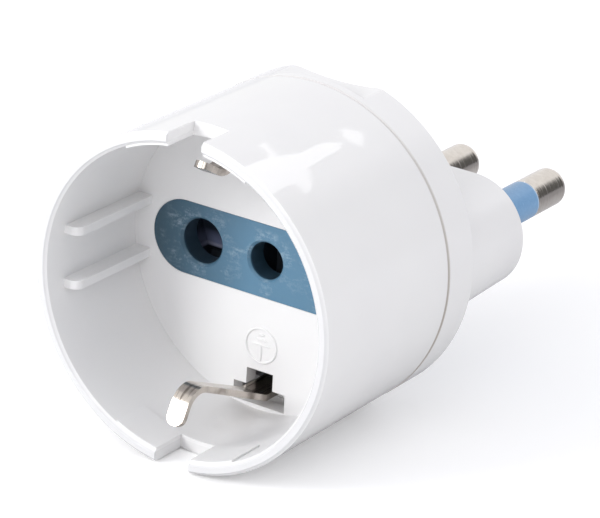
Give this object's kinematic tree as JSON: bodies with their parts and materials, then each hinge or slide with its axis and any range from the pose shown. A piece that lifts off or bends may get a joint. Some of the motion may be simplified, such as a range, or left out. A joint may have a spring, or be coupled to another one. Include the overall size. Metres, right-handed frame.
{
  "type": "schuko plug adapter",
  "caption": "Round adapter from a Schuko or Italian 10 A plug to an Italian 16 A socket, with a deep recess, sprung earth clips, a shuttered insert and in-line round pins.",
  "frame": {"origin": "centre of the earth pin's base, in the plug face", "axes": "+Y along the pins, away from the body; +X along the row of pins and holes; +Z towards the upper earth clip"},
  "size_m": [0.0422, 0.0637, 0.0422],
  "materials": {
    "housing_plastic": "glossy moulded",
    "insert_plastic": "satin moulded",
    "shutter_plastic": "moulded",
    "inner_plastic": "moulded",
    "sleeve_plastic": "overmoulded",
    "pin_nickel": "turned and nickel plated",
    "strap_metal": "rolled and nickel plated",
    "contact_brass": "stamped",
    "spring_steel": "bright",
    "screw_steel": "zinc plated"
  },
  "bodies": {
    "adapter": {"front_housing": "housing_plastic", "rear_housing": "housing_plastic", "socket_insert": "insert_plastic", "shutter_frame": "inner_plastic", "shutter_spring": "spring_steel", "contact_carrier": "inner_plastic", "line_contact": "contact_brass", "neutral_contact": "contact_brass", "earth_contact": "contact_brass", "line_contact_spring": "spring_steel", "neutral_contact_spring": "spring_steel", "earth_contact_spring": "spring_steel", "earth_strap": "strap_metal", "line_pin": "pin_nickel", "neutral_pin": "pin_nickel", "earth_pin": "pin_nickel", "line_pin_sleeve": "sleeve_plastic", "neutral_pin_sleeve": "sleeve_plastic", "housing_screws": "screw_steel"},
    "shutter": {"shutter": "shutter_plastic"}
  },
  "joints": [
    {"name": "shutter_slide", "type": "slide", "parent": "adapter", "child": "shutter", "axis": [0, 0, 1], "range_m": [0, 0.0062], "stiffness_N_per_m": 60, "springref_m": -0.004, "deforming": ["shutter_spring"]}
  ]
}
